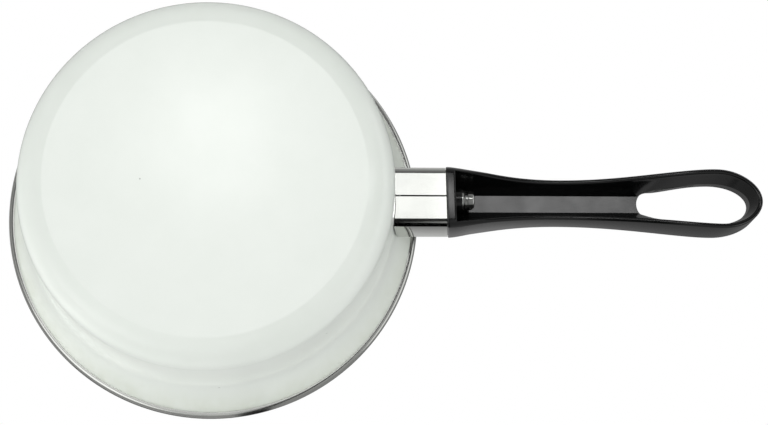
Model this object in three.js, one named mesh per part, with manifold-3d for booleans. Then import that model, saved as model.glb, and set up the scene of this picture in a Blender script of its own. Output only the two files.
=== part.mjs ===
// A white enamelled saucepan: a pressed steel pan with a rolled rim band, and a moulded handle
// that one bolt draws against a bracket welded to the wall, with a folded sheet ferrule between.
// Millimetres, +Z up, origin at the centre of the base's underside, handle along +X.

import * as THREE from "three";
import { mergeVertices } from "three/addons/utils/BufferGeometryUtils.js";
import Module from "manifold-3d";

const degree = Math.PI / 180;

// Pan: pressed sheet with a flat base, a near upright lower wall and a flared upper wall
const rimRadius = 92; // outside of the rim band
const panHeight = 76; // base to the top of the rim band
const baseInset = 25.3; // rim to the flat of the base, across
const baseCorner = 11.7; // outside radius between the base and the wall
const sheet = 1.6; // steel with enamel on both faces
const lowerTaper = 3 * degree; // lean of the lower wall
const flareHeight = 56; // where the lower wall turns into the flare
const flareBlend = 30; // radius of that turn
const panSegments = 72;

// Rim band: a stainless strip rolled round the edge of the pan
const bandRadius = 2.3; // outside of the roll
const bandGauge = 0.5;
const bandClearance = 0.1; // its two lips stand off the wall by this much
const edgeReach = 1.2; // the pan's edge passes the middle of the roll by this much

// Handle as a whole: it leaves the wall below the rim and climbs a little
const handleDrop = 38; // rim to the underside of the ferrule at the wall
const handleRise = 3.5 * degree;
const ferruleLength = 22.5; // wall to grip along the underside
const jointLean = 9 * degree; // top of the joint between ferrule and grip stands out, as the wall does
const boltHeight = 9.2; // bolt axis above the underside
const wallClearance = 0.3; // pieces shaped to the wall stand off it by this much
const seatGap = 0.1; // faces that the bolt clamps together

// Section shared by the ferrule and the front of the grip
const frontHalfWidth = 13.65; // where the side leaves the lower corner
const frontCorner = 3.5; // lower corner radius
const sideHeight = 18; // underside to the widest line
const sideDraft = 5.2 * degree; // sides open upwards
const shoulderInset = 4.2; // top edge rounding, across
const shoulderRise = 2.6; // top edge rounding, up
const crown = 0.9; // top face bulge
const crownStation = 0.5; // share of the half width where the bulge is drawn

// Ferrule: polished sheet folded to a sleeve, its butt seam along the underside
const ferruleGauge = 0.6;
const ferruleStep = 0.4; // the grip stands proud of it
const seamWidth = 0.45;

// Bolt, nut and washers
const boltDiameter = 5;
const boltHeadDiameter = 8.5;
const boltHeadHeight = 3;
const boltHeadFillet = 1.2;
const boltSlotWidth = 1.2;
const boltSlotDepth = 1.5;
const boltClearance = 0.25; // round the shank
const boltTail = 2; // shank past the nut
const nutFlats = 8;
const nutHeight = 4;
const flatWasherDiameter = 10;
const flatWasherThickness = 1;
const springWasherDiameter = 9.2;
const springWasherThickness = 1.2;
const springWasherSplit = 0.8;
const springWasherRise = 0.5; // one end of the split stands up by this much
const springWasherTurn = -110 * degree; // where the split faces, from +Y
const boltSides = 24;

// Bracket: a strap bent to a bridge over the nut, its feet turned out along the wall
const strapThickness = 2;
const strapWidth = 12;
const bendInside = 1; // inside radius of the bends
const nutRoom = 0.9; // nut's corners to the arms
const footClearance = 1; // foot ends to the ferrule

// Grip: a dog-bone bar, hollow below, that ends in a hanging loop
const gripLength = 144.8;
const waistAt = 50.3;
const waistHalfWidth = 9;
const noseLength = 21; // widest place of the loop to the tip
const loopHalfWidth = 13.5;
const archAt = 55.6; // highest place of the arched underside
const archRise = 6.7;
const heelSetback = 8.4; // lowest place of the loop's underside, before its widest place
const heelRise = 2;
const tipRise = 5.5;
const cornerFade = 16.8; // lower corner shrinks to the bead radius over this length
const beadWidth = 2.1; // rounded rim left round the hollow
const beadRadius = 1;
const frontWall = 4.4;
const frontWallDraft = 1;
const leanFade = 12; // lean of the front face dies out along the bar over this length
const spigotLength = 2; // pad on the front face that centres the ferrule
const spigotRoot = 4; // the pad runs this far into the front wall
const spigotClearance = 0.3;
const bossMargin = 0.5; // washer seat behind the front wall, wider than the washer all round
const bossHeight = 3;
const topWall = 5.2; // floor of the hollow to the crown
const floorHalfWidth = 3.75;

// Hanging hole through the loop
const tipWall = 3; // hole to the tip
const holeLength = 52.7;
const holeStartRadius = 6.5;
const loopRing = 3.8; // hole to the side of the loop
const holeShutOff = 0.3; // hollow stays inside the hole's outline by this much at its floor

// How far the two ends of each curve are held level, as shares of its length
const neckEase = [0.17, 0.54]; // front to waist in plan
const waistEase = [0.46, 0.2]; // waist to loop in plan
const archEase = [0.26, 0.55]; // front to arch along the underside
const heelEase = [0.39, 0.39]; // arch to loop along the underside
const tipEase = [0.5, 0.29]; // loop to tip along the underside
const holeEase = [0.21, 0.43]; // sides of the hanging hole
const floorEase = [0.04, 0.63]; // floor of the hollow, opening out round the hole

const through = 1; // cutters run past the faces that they open

const wasm = await Module();
wasm.setup();

// A closed geometry as a solid that can be joined and cut.
function solidOf(geometry) {
  const mergeDistance = 1e-4;
  const bare = geometry.clone();
  bare.deleteAttribute("normal");
  bare.deleteAttribute("uv");
  const merged = mergeVertices(bare, mergeDistance);
  const triVerts = [];
  for (let i = 0; i < merged.index.count; i += 3) {
    const [a, b, c] = [0, 1, 2].map((k) => merged.index.getX(i + k));
    if (a !== b && b !== c && c !== a) triVerts.push(a, b, c);
  }
  const vertProperties = new Float32Array(merged.attributes.position.array);
  return new wasm.Manifold(
    new wasm.Mesh({ numProp: 3, vertProperties, triVerts: new Uint32Array(triVerts) }),
  );
}

function geometryOf(solid) {
  const mesh = solid.getMesh();
  const geometry = new THREE.BufferGeometry();
  geometry.setAttribute("position", new THREE.BufferAttribute(mesh.vertProperties, 3));
  geometry.setIndex(new THREE.BufferAttribute(mesh.triVerts, 1));
  geometry.computeVertexNormals();
  return geometry;
}

// Solid of revolution about Z from points (radius, height).
function revolve(points, segments) {
  return new THREE.LatheGeometry(points, segments).rotateX(Math.PI / 2);
}

// Prism along +X from a shape drawn with x to +Y and y to +Z.
function prismAlongX(shape, from, to) {
  const geometry = new THREE.ExtrudeGeometry(shape, { depth: to - from, bevelEnabled: false });
  const basis = new THREE.Matrix4().makeBasis(
    new THREE.Vector3(0, 1, 0),
    new THREE.Vector3(0, 0, 1),
    new THREE.Vector3(1, 0, 0),
  );
  return geometry.applyMatrix4(basis).translate(from, 0, 0);
}

function rodAlongX(diameter, from, to) {
  const rod = new THREE.CylinderGeometry(diameter / 2, diameter / 2, to - from, boltSides);
  return rod.rotateZ(-Math.PI / 2).translate((from + to) / 2, 0, 0);
}

function boxBetween(low, high) {
  const size = high.clone().sub(low);
  const centre = low.clone().lerp(high, 0.5);
  return new THREE.BoxGeometry(size.x, size.y, size.z).translate(centre.x, centre.y, centre.z);
}

// Height of a curve that runs steadily along x, at the given x.
function heightAt(curve, x) {
  const halvings = 40;
  let [low, high] = [0, 1];
  for (let i = 0; i < halvings; i++) {
    const middle = (low + high) / 2;
    if (curve.getPoint(middle).x < x) low = middle;
    else high = middle;
  }
  return curve.getPoint(low).y;
}

// A level-ended curve between two points.
function ease(from, to, [holdFrom, holdTo]) {
  const length = to.x - from.x;
  return new THREE.CubicBezierCurve(
    from,
    new THREE.Vector2(from.x + holdFrom * length, from.y),
    new THREE.Vector2(to.x - holdTo * length, to.y),
    to,
  );
}

// Pan profile: centres of its two arcs and the lean of the flare, all from the driving sizes.
const baseRadius = rimRadius - baseInset; // flat of the base
const rollCentre = new THREE.Vector2(rimRadius - bandRadius, panHeight - bandRadius);
const outward = (lean) => new THREE.Vector2(Math.cos(lean), -Math.sin(lean));
const cornerCentre = new THREE.Vector2(baseRadius, baseCorner);
const lowerStart = cornerCentre.clone().addScaledVector(outward(lowerTaper), baseCorner);
const crease = new THREE.Vector2(
  lowerStart.x + (flareHeight - lowerStart.y) * Math.tan(lowerTaper),
  flareHeight,
);
const toRoll = rollCentre.clone().sub(crease);
const upperTaper = Math.atan2(toRoll.x, toRoll.y) + Math.asin(sheet / 2 / toRoll.length());
const upFlare = new THREE.Vector2(Math.sin(upperTaper), Math.cos(upperTaper));
const edge = rollCentre.clone().addScaledVector(upFlare, edgeReach); // middle of the sheet
const halfTurn = (upperTaper - lowerTaper) / 2;
const blendRadius = Math.sign(halfTurn) * flareBlend;
const blendCentre = crease
  .clone()
  .addScaledVector(outward(lowerTaper + halfTurn), blendRadius / Math.cos(halfTurn));

// The outer face moved inwards by inset, from the base's flat to the edge.
function wallProfile(inset) {
  const [cornerSteps, blendSteps] = [8, 6];
  const points = [];
  for (let i = 0; i <= cornerSteps; i++) {
    const lean = THREE.MathUtils.lerp(Math.PI / 2, lowerTaper, i / cornerSteps);
    points.push(cornerCentre.clone().addScaledVector(outward(lean), baseCorner - inset));
  }
  for (let i = 0; i <= blendSteps; i++) {
    const lean = THREE.MathUtils.lerp(lowerTaper, upperTaper, i / blendSteps);
    points.push(blendCentre.clone().addScaledVector(outward(lean), -blendRadius - inset));
  }
  points.push(edge.clone().addScaledVector(outward(upperTaper), sheet / 2 - inset));
  return points;
}

function wallRadiusAt(height) {
  const points = wallProfile(0);
  const above = points.findIndex((p) => p.y >= height);
  const [a, b] = [points[above - 1], points[above]];
  return THREE.MathUtils.mapLinear(height, a.y, b.y, a.x, b.x);
}

function panGeometry() {
  const inside = wallProfile(sheet).reverse();
  const profile = [new THREE.Vector2(0, 0), ...wallProfile(0), ...inside, new THREE.Vector2(0, sheet)];
  return revolve(profile, panSegments);
}

// The pan as a full block, grown by the given clearance: it trims what is shaped to the wall.
function panBlock(clearance) {
  const top = panHeight + clearance;
  const wall = wallProfile(-clearance);
  const profile = [
    new THREE.Vector2(0, -clearance),
    ...wall,
    new THREE.Vector2(wall.at(-1).x, top),
    new THREE.Vector2(0, top),
  ];
  return revolve(profile, panSegments);
}

function rimBandGeometry() {
  const rollSteps = 10;
  const across = outward(upperTaper);
  const lip = sheet / 2 + bandClearance;
  const roll = (radius) => {
    const points = [];
    const lipTurn = Math.asin(lip / radius);
    for (let i = 0; i <= rollSteps; i++) {
      const turn = THREE.MathUtils.lerp(lipTurn, 2 * Math.PI - lipTurn, i / rollSteps);
      points.push(
        rollCentre
          .clone()
          .addScaledVector(across, radius * Math.sin(turn))
          .addScaledVector(upFlare, -radius * Math.cos(turn)),
      );
    }
    return points;
  };
  const profile = [...roll(bandRadius), ...roll(bandRadius - bandGauge).reverse()];
  return revolve([...profile, profile[0]], panSegments);
}

// Handle frame: x along the handle from the wall, y across, z up from the underside.
const handle = new THREE.Group();
const handleHeight = panHeight - handleDrop;
handle.position.set(wallRadiusAt(handleHeight), 0, handleHeight);
handle.rotation.y = -handleRise;
handle.updateMatrix();
const intoHandle = handle.matrix.clone().invert();
const gripStart = ferruleLength + seatGap;
const leanAt = (height) => height * Math.tan(jointLean); // how far the joint stands out at a height
const wallReach = frontHalfWidth; // pieces shaped to the wall start inside it, which trims them

// Right half of a section from the middle of the underside to the middle of the top.
function sectionHalf({ halfWidth, bottom, corner, inset = 0 }) {
  const [cornerSteps, shoulderSteps] = [4, 4];
  const radius = corner - inset;
  const points = [new THREE.Vector2(0, bottom + inset)];
  const centre = new THREE.Vector2(halfWidth - corner, bottom + corner);
  for (let i = 0; i <= cornerSteps; i++) {
    const turn = ((Math.PI / 2) * i) / cornerSteps;
    points.push(
      new THREE.Vector2(centre.x + radius * Math.sin(turn), centre.y - radius * Math.cos(turn)),
    );
  }
  const widest = halfWidth - inset + (sideHeight - centre.y) * Math.tan(sideDraft);
  for (let i = 0; i <= shoulderSteps; i++) {
    const turn = ((Math.PI / 2) * i) / shoulderSteps;
    points.push(
      new THREE.Vector2(
        widest - shoulderInset * (1 - Math.cos(turn)),
        sideHeight + (shoulderRise - inset) * Math.sin(turn),
      ),
    );
  }
  const shoulder = points.at(-1);
  for (const share of [crownStation, 0]) {
    points.push(new THREE.Vector2(shoulder.x * share, shoulder.y + crown * (1 - share * share)));
  }
  return points;
}

const frontSection = { halfWidth: frontHalfWidth, bottom: 0, corner: frontCorner };
const mirrored = (points) => points.map((p) => new THREE.Vector2(-p.x, p.y)).reverse();

function sectionShape(inset) {
  const half = sectionHalf({ ...frontSection, inset });
  return new THREE.Shape([...half, ...mirrored(half.slice(1, -1))]);
}

function ferruleGeometry() {
  const open = (inset) => {
    const half = sectionHalf({ ...frontSection, inset });
    half[0].x = seamWidth / 2;
    return [...half, ...mirrored(half.slice(0, -1))];
  };
  const shape = new THREE.Shape([
    ...open(ferruleStep),
    ...open(ferruleStep + ferruleGauge).reverse(),
  ]);
  const blank = prismAlongX(shape, -wallReach, ferruleLength);
  const place = blank.getAttribute("position");
  for (let i = 0; i < place.count; i++) {
    const atJoint = place.getX(i) > ferruleLength / 2;
    if (atJoint) place.setX(i, ferruleLength + leanAt(place.getZ(i)));
  }
  const sleeve = solidOf(blank);
  return geometryOf(sleeve.subtract(solidOf(panBlock(wallClearance).applyMatrix4(intoHandle))));
}

// Places along the bolt axis, from the bracket's bridge to the bolt's head.
const bridgeFace = gripStart - spigotLength - seatGap;
const bridgeBack = bridgeFace - strapThickness;
const nutFace = bridgeBack - seatGap;
const washerSeat = gripStart + frontWall + bossHeight + seatGap;
const springSeat = washerSeat + flatWasherThickness + seatGap;
const headSeat = springSeat + springWasherThickness + springWasherRise + seatGap;
const headEnd = headSeat + boltHeadHeight;
const boltEnd = nutFace - nutHeight - boltTail;
const boltHole = boltDiameter + 2 * boltClearance;
const nutCorners = nutFlats / Math.cos(Math.PI / 6);
const onBoltAxis = (geometry) => geometry.translate(0, 0, boltHeight);

function bracketGeometry() {
  const bendSegments = 4;
  const [low, high] = [boltHeight - strapWidth / 2, boltHeight + strapWidth / 2];
  const inner = nutCorners / 2 + nutRoom;
  const outer = inner + strapThickness;
  const bendOutside = bendInside + strapThickness;
  const [outerTurn, innerTurn] = [bridgeFace - bendOutside, bridgeBack - bendInside];
  const footReach = frontHalfWidth - ferruleStep - ferruleGauge - footClearance;
  const plan = new THREE.Shape();
  plan.moveTo(-wallReach, -outer);
  plan.lineTo(outerTurn, -outer);
  plan.absarc(outerTurn, bendOutside - outer, bendOutside, -Math.PI / 2, 0);
  plan.absarc(outerTurn, outer - bendOutside, bendOutside, 0, Math.PI / 2);
  plan.lineTo(-wallReach, outer);
  plan.lineTo(-wallReach, inner);
  plan.absarc(innerTurn, inner - bendInside, bendInside, Math.PI / 2, 0, true);
  plan.absarc(innerTurn, bendInside - inner, bendInside, 0, -Math.PI / 2, true);
  plan.lineTo(-wallReach, -inner);
  const strap = new THREE.ExtrudeGeometry(plan, {
    depth: strapWidth,
    bevelEnabled: false,
    curveSegments: bendSegments,
  });
  const block = solidOf(panBlock(wallClearance).applyMatrix4(intoHandle));
  const grown = solidOf(panBlock(wallClearance + strapThickness).applyMatrix4(intoHandle));
  const feet = [-1, 1].map((side) => {
    const ends = [side * inner, side * footReach].sort((a, b) => a - b);
    const window = boxBetween(
      new THREE.Vector3(-wallReach, ends[0], low),
      new THREE.Vector3(bridgeBack, ends[1], high),
    );
    return grown.intersect(solidOf(window));
  });
  const bore = onBoltAxis(rodAlongX(boltHole, bridgeBack - through, bridgeFace + through));
  return geometryOf(
    solidOf(strap.translate(0, 0, low))
      .add(feet[0])
      .add(feet[1])
      .subtract(block)
      .subtract(solidOf(bore)),
  );
}

function nutGeometry() {
  const hex = new THREE.CylinderGeometry(nutCorners / 2, nutCorners / 2, nutHeight, 6);
  const blank = hex.rotateZ(-Math.PI / 2).translate(nutFace - nutHeight / 2, 0, 0);
  const bore = rodAlongX(boltHole, nutFace - nutHeight - through, nutFace + through);
  return onBoltAxis(geometryOf(solidOf(blank).subtract(solidOf(bore))));
}

function boltGeometry() {
  const filletSteps = 4;
  const rim = boltHeadDiameter / 2;
  const profile = [new THREE.Vector2(0, 0), new THREE.Vector2(rim, 0)];
  for (let i = 0; i <= filletSteps; i++) {
    const turn = ((Math.PI / 2) * i) / filletSteps;
    profile.push(
      new THREE.Vector2(
        rim - boltHeadFillet * (1 - Math.cos(turn)),
        boltHeadHeight - boltHeadFillet * (1 - Math.sin(turn)),
      ),
    );
  }
  profile.push(new THREE.Vector2(0, boltHeadHeight));
  const head = revolve(profile, boltSides).rotateY(Math.PI / 2).translate(headSeat, 0, 0);
  const shank = rodAlongX(boltDiameter, boltEnd, headSeat + boltHeadHeight / 2);
  const slot = boxBetween(
    new THREE.Vector3(headEnd - boltSlotDepth, -boltHeadDiameter, -boltSlotWidth / 2),
    new THREE.Vector3(headEnd + through, boltHeadDiameter, boltSlotWidth / 2),
  );
  return onBoltAxis(geometryOf(solidOf(head).add(solidOf(shank)).subtract(solidOf(slot))));
}

function flatWasherGeometry() {
  const [bore, rim] = [boltHole / 2, flatWasherDiameter / 2];
  const profile = [
    new THREE.Vector2(bore, 0),
    new THREE.Vector2(rim, 0),
    new THREE.Vector2(rim, flatWasherThickness),
    new THREE.Vector2(bore, flatWasherThickness),
    new THREE.Vector2(bore, 0),
  ];
  const washer = revolve(profile, boltSides).rotateY(Math.PI / 2);
  return onBoltAxis(washer.translate(washerSeat, 0, 0));
}

// One turn of a square-cut spring: it climbs by the rise from one side of the split to the other.
function springWasherGeometry() {
  const [bore, rim] = [boltHole / 2, springWasherDiameter / 2];
  const split = springWasherSplit / rim;
  const shape = new THREE.Shape([
    new THREE.Vector2(bore, 0),
    new THREE.Vector2(rim, 0),
    new THREE.Vector2(rim, springWasherThickness),
    new THREE.Vector2(bore, springWasherThickness),
  ]);
  const turn = new THREE.ExtrudeGeometry(shape, { depth: 1, steps: boltSides, bevelEnabled: false });
  const place = turn.getAttribute("position");
  for (let i = 0; i < place.count; i++) {
    const share = place.getZ(i);
    const angle = springWasherTurn - split / 2 - share * (2 * Math.PI - split);
    const radius = place.getX(i);
    place.setXYZ(
      i,
      springSeat + place.getY(i) + share * springWasherRise,
      radius * Math.cos(angle),
      boltHeight + radius * Math.sin(angle),
    );
  }
  return turn;
}

// Grip outline in plan and its arched underside.
const loopAt = gripLength - noseLength;
const heelAt = loopAt - heelSetback;
const holeEnd = gripLength - tipWall;
const holeStart = holeEnd - holeLength;
const holeHalfWidth = loopHalfWidth - loopRing;
const floorHeight = sideHeight + shoulderRise + crown - topWall;
const sideOfGrip = [
  ease(new THREE.Vector2(0, frontHalfWidth), new THREE.Vector2(waistAt, waistHalfWidth), neckEase),
  ease(new THREE.Vector2(waistAt, waistHalfWidth), new THREE.Vector2(loopAt, loopHalfWidth), waistEase),
];
const underside = [
  ease(new THREE.Vector2(0, 0), new THREE.Vector2(archAt, archRise), archEase),
  ease(new THREE.Vector2(archAt, archRise), new THREE.Vector2(heelAt, heelRise), heelEase),
  ease(new THREE.Vector2(heelAt, heelRise), new THREE.Vector2(gripLength, tipRise), tipEase),
];
const chainAt = (curves, x) => heightAt(curves.find((c) => c.getPoint(1).x >= x) ?? curves.at(-1), x);
const undersideAt = (x) => chainAt(underside, Math.min(x, gripLength));
const cornerAt = (x) => {
  const fade = THREE.MathUtils.smoothstep(x, frontWall, frontWall + cornerFade);
  return THREE.MathUtils.lerp(frontCorner, beadRadius, fade);
};

// One side of a plan outline: stations along the bar, then a quarter ellipse round the nose.
// Each station has its place, its outward normal and the point on the middle line that it faces.
function planSide(from, halfWidthAt, nose) {
  const [barSteps, noseSteps, slopeStep] = [24, 8, 0.5];
  const stations = [];
  for (let i = 0; i < barSteps; i++) {
    const x = THREE.MathUtils.lerp(from, nose.at, i / barSteps);
    const climb = i === 0 ? 0 : halfWidthAt(x + slopeStep) - halfWidthAt(x - slopeStep);
    const normal = new THREE.Vector2(-climb, 2 * slopeStep).normalize();
    stations.push({ place: new THREE.Vector2(x, halfWidthAt(x)), normal, middle: x });
  }
  for (let i = 0; i <= noseSteps; i++) {
    const turn = ((Math.PI / 2) * i) / noseSteps;
    const [s, c] = i === noseSteps ? [1, 0] : [Math.sin(turn), Math.cos(turn)];
    stations.push({
      place: new THREE.Vector2(nose.at + nose.length * s, nose.halfWidth * c),
      normal: new THREE.Vector2(s / nose.length, c / nose.halfWidth).normalize(),
      middle: nose.at,
    });
  }
  return stations;
}

// Skin over closed rings that are mirror images about the middle line. Each ring is the list of
// points of one side, front to nose. The first and the last ring are closed across the middle.
function skin(rings) {
  const count = rings[0].length;
  const around = 2 * count;
  const positions = [];
  for (const ring of rings) {
    for (const p of ring) positions.push(p.x, p.y, p.z);
    for (const p of ring.slice().reverse()) positions.push(p.x, -p.y, p.z);
  }
  const index = [];
  for (let k = 0; k + 1 < rings.length; k++) {
    for (let i = 0; i < around; i++) {
      const j = (i + 1) % around;
      const [a, b] = [k * around + i, k * around + j];
      const [c, d] = [b + around, a + around];
      index.push(a, c, b, a, d, c);
    }
  }
  const last = (rings.length - 1) * around;
  for (let i = 0; i + 1 < count; i++) {
    const [a, b, c, d] = [i, i + 1, around - 2 - i, around - 1 - i];
    index.push(a, b, c, a, c, d);
    index.push(last + a, last + c, last + b, last + a, last + d, last + c);
  }
  const geometry = new THREE.BufferGeometry();
  geometry.setAttribute("position", new THREE.Float32BufferAttribute(positions, 3));
  geometry.setIndex(index);
  return geometry;
}

// The bar without its hollow: the section is carried round the plan outline, so the nose is
// rounded and drafted as the sides are, and the top is crowned about the middle line.
function gripBarGeometry() {
  const nose = { at: loopAt, length: noseLength, halfWidth: loopHalfWidth };
  const stations = planSide(0, (x) => chainAt(sideOfGrip, x), nose);
  const sections = stations.map(({ place }) =>
    sectionHalf({
      halfWidth: frontHalfWidth,
      bottom: undersideAt(place.x),
      corner: cornerAt(place.x),
    }),
  );
  const onOutline = sections[0].length - 2; // the last two points are scaled to the middle line
  const rings = [];
  for (let k = 1; k < sections[0].length; k++) {
    rings.push(
      stations.map(({ place, normal, middle }, i) => {
        const level = sections[i][Math.min(k, onOutline - 1)];
        const offset = level.x - frontHalfWidth;
        const x = place.x + normal.x * offset;
        const y = Math.max(0, place.y + normal.y * offset);
        const share = k < onOutline ? 1 : sections[i][k].x / level.x;
        const height = sections[i][k].y;
        const lean = leanAt(height) * Math.max(0, 1 - place.x / leanFade);
        return new THREE.Vector3(
          THREE.MathUtils.lerp(middle, x, share) + lean,
          y * share,
          height,
        );
      }),
    );
  }
  return skin(rings);
}

// The hollow below the bar: its mouth keeps a bead inside the outline, rounded over, and its
// walls run in to a floor with straight parallel edges, which opens out round the hanging hole.
function gripHollowGeometry() {
  const mouthSteps = 4;
  const floorWidth = holeHalfWidth - holeShutOff;
  const floorSpread = ease(
    new THREE.Vector2(holeStart, floorHalfWidth),
    new THREE.Vector2(loopAt, floorWidth),
    floorEase,
  );
  const mouth = planSide(frontWall, (x) => chainAt(sideOfGrip, x) - beadWidth, {
    at: loopAt,
    length: noseLength - beadWidth,
    halfWidth: loopHalfWidth - beadWidth,
  });
  const floor = planSide(
    frontWall + frontWallDraft,
    (x) => (x < holeStart ? floorHalfWidth : heightAt(floorSpread, x)),
    { at: loopAt, length: holeEnd - holeShutOff - loopAt, halfWidth: floorWidth },
  );
  const mouthRing = (flare, rise) =>
    mouth.map(({ place, normal }) => {
      const front = place.x === frontWall ? flare : 0;
      return new THREE.Vector3(
        place.x + normal.x * flare - front,
        Math.max(0, place.y + normal.y * flare),
        undersideAt(place.x) + rise,
      );
    });
  const rings = [mouthRing(beadRadius, -beadRadius)];
  for (let i = 0; i <= mouthSteps; i++) {
    const turn = ((Math.PI / 2) * i) / mouthSteps;
    rings.push(mouthRing(beadRadius * (1 - Math.sin(turn)), beadRadius * (1 - Math.cos(turn))));
  }
  rings.push(floor.map(({ place }) => new THREE.Vector3(place.x, place.y, floorHeight)));
  return skin(rings);
}

function hangingHoleGeometry() {
  const [startSteps, sideSteps, endSteps] = [10, 6, 16];
  const startCentre = holeStart + holeStartRadius;
  const startArc = new THREE.EllipseCurve(
    startCentre,
    0,
    holeStartRadius,
    holeStartRadius,
    Math.PI / 2,
    1.5 * Math.PI,
  );
  const endArc = new THREE.EllipseCurve(
    loopAt,
    0,
    holeEnd - loopAt,
    holeHalfWidth,
    -Math.PI / 2,
    Math.PI / 2,
  );
  const side = ease(
    new THREE.Vector2(startCentre, holeStartRadius),
    new THREE.Vector2(loopAt, holeHalfWidth),
    holeEase,
  )
    .getPoints(sideSteps)
    .slice(1, -1);
  const outline = new THREE.Shape([
    ...startArc.getPoints(startSteps),
    ...side.map((p) => new THREE.Vector2(p.x, -p.y)),
    ...endArc.getPoints(endSteps),
    ...side.reverse(),
  ]);
  const depth = topWall + 2 * through;
  const prism = new THREE.ExtrudeGeometry(outline, { depth, bevelEnabled: false });
  return prism.translate(0, 0, floorHeight - through);
}

function gripGeometry() {
  const bossEnd = frontWall + bossHeight;
  const bossDiameter = flatWasherDiameter + 2 * bossMargin;
  const boss = onBoltAxis(rodAlongX(bossDiameter, frontWall / 2, bossEnd));
  const well = onBoltAxis(rodAlongX(bossDiameter, bossEnd, headEnd - gripStart + through));
  const hole = onBoltAxis(rodAlongX(boltHole, -spigotLength - through, bossEnd + through));
  const spigotInset = ferruleStep + ferruleGauge + spigotClearance;
  const spigot = prismAlongX(sectionShape(spigotInset), -spigotLength, spigotRoot);
  return geometryOf(
    solidOf(gripBarGeometry())
      .subtract(solidOf(gripHollowGeometry()))
      .subtract(solidOf(hangingHoleGeometry()))
      .subtract(solidOf(well))
      .add(solidOf(boss))
      .add(solidOf(spigot))
      .subtract(solidOf(hole)),
  );
}

const enamel = () => new THREE.MeshStandardMaterial({ color: "#e9eee8", roughness: 0.16, metalness: 0 });
const polished = () => new THREE.MeshStandardMaterial({ color: "#d9dad6", roughness: 0.12, metalness: 1 });
const plated = () => new THREE.MeshStandardMaterial({ color: "#b9bab8", roughness: 0.3, metalness: 1 });
const phenolic = () => new THREE.MeshStandardMaterial({ color: "#0d0e0f", roughness: 0.2, metalness: 0 });

function named(name, geometry, material) {
  const mesh = new THREE.Mesh(geometry, material);
  mesh.name = name;
  return mesh;
}

const grip = named("handle_grip", gripGeometry(), phenolic());
grip.position.x = gripStart;
handle.add(
  named("ferrule", ferruleGeometry(), polished()),
  named("handle_bracket", bracketGeometry(), plated()),
  named("bracket_nut", nutGeometry(), plated()),
  named("flat_washer", flatWasherGeometry(), plated()),
  named("spring_washer", springWasherGeometry(), plated()),
  named("handle_bolt", boltGeometry(), plated()),
  grip,
);

const saucepan = new THREE.Group();
saucepan.add(
  named("pan_body", panGeometry(), enamel()),
  named("rim_band", rimBandGeometry(), polished()),
  handle,
);

export default saucepan;
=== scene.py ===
import bpy, bmesh
import math
from mathutils import Matrix, Vector


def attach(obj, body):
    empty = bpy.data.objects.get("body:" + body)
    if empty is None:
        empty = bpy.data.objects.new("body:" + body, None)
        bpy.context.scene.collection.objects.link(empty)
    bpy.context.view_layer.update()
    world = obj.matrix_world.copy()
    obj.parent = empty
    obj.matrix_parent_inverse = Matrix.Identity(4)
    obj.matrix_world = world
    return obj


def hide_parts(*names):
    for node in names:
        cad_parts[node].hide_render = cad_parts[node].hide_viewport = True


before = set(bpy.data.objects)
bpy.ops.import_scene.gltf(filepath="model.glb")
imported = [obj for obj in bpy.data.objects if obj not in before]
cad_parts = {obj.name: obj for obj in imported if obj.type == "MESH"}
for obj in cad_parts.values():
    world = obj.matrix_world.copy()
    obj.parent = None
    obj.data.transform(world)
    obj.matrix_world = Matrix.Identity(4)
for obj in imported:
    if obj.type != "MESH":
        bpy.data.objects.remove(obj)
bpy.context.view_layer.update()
mm = 0.001
studio = bpy.context.scene
print("frame loaded:", len(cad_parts), "nodes")

meshing = {
    "machinedEdge": 40, "pressedEdge": 50, "mouldedEdge": 38,  # degrees past which an edge stays sharp
    "mergeMade": 1e-4, "mergeCut": 1e-3,  # mm under which two points become one
    "overcut": 1,  # mm that a cutter reaches past the face it cuts
}


def linear(hexColour):  # sRGB hex to linear RGBA
    parts = [int(hexColour[i:i + 2], 16) / 255 for i in (1, 3, 5)]
    return tuple(p / 12.92 if p <= 0.04045 else ((p + 0.055) / 1.055) ** 2.4 for p in parts) + (1.0,)


def addNode(tree, kind, settings=None, links=None):  # settings by property or socket, links by socket
    node = tree.nodes.new(kind)
    for key, value in (settings or {}).items():
        if isinstance(key, str) and hasattr(node, key):
            setattr(node, key, value)
        else:
            node.inputs[key].default_value = value
    for key, source in (links or {}).items():
        tree.links.new(source, node.inputs[key])
    return node


def newMaterial(name):
    material = bpy.data.materials.new(name)
    material.use_nodes = True
    tree = material.node_tree
    tree.nodes.clear()
    return material, tree


def perMm(size):  # texture scale that repeats every size mm
    return 1 / (size * mm)


def lerp(a, b, t):
    return a + (b - a) * t


def ease(t):  # 0 to 1, level at both ends
    return t * t * (3 - 2 * t)


def quarterTurns(steps):
    return [math.pi / 2 * i / steps for i in range(steps + 1)]


def bisect(low, high, isBelow, rounds=40):
    for _ in range(rounds):
        middle = (low + high) / 2
        low, high = (middle, high) if isBelow(middle) else (low, middle)
    return low, high


def mirrored(side):  # a half outline of (y, z) and its other half
    return side + [(-y, z) for y, z in side[-2::-1]]


def shade(mesh, sharp):
    mesh.shade_smooth()
    mesh.set_sharp_from_angle(angle=math.radians(sharp))


def mergeClose(mesh, near, sharp):  # points closer than near mm become one, so no sliver faces are left
    work = bmesh.new()
    work.from_mesh(mesh)
    bmesh.ops.remove_doubles(work, verts=work.verts, dist=near * mm)
    bmesh.ops.dissolve_degenerate(work, edges=work.edges, dist=near * mm)
    bmesh.ops.recalc_face_normals(work, faces=work.faces)
    work.to_mesh(mesh)
    work.free()
    shade(mesh, sharp)


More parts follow.
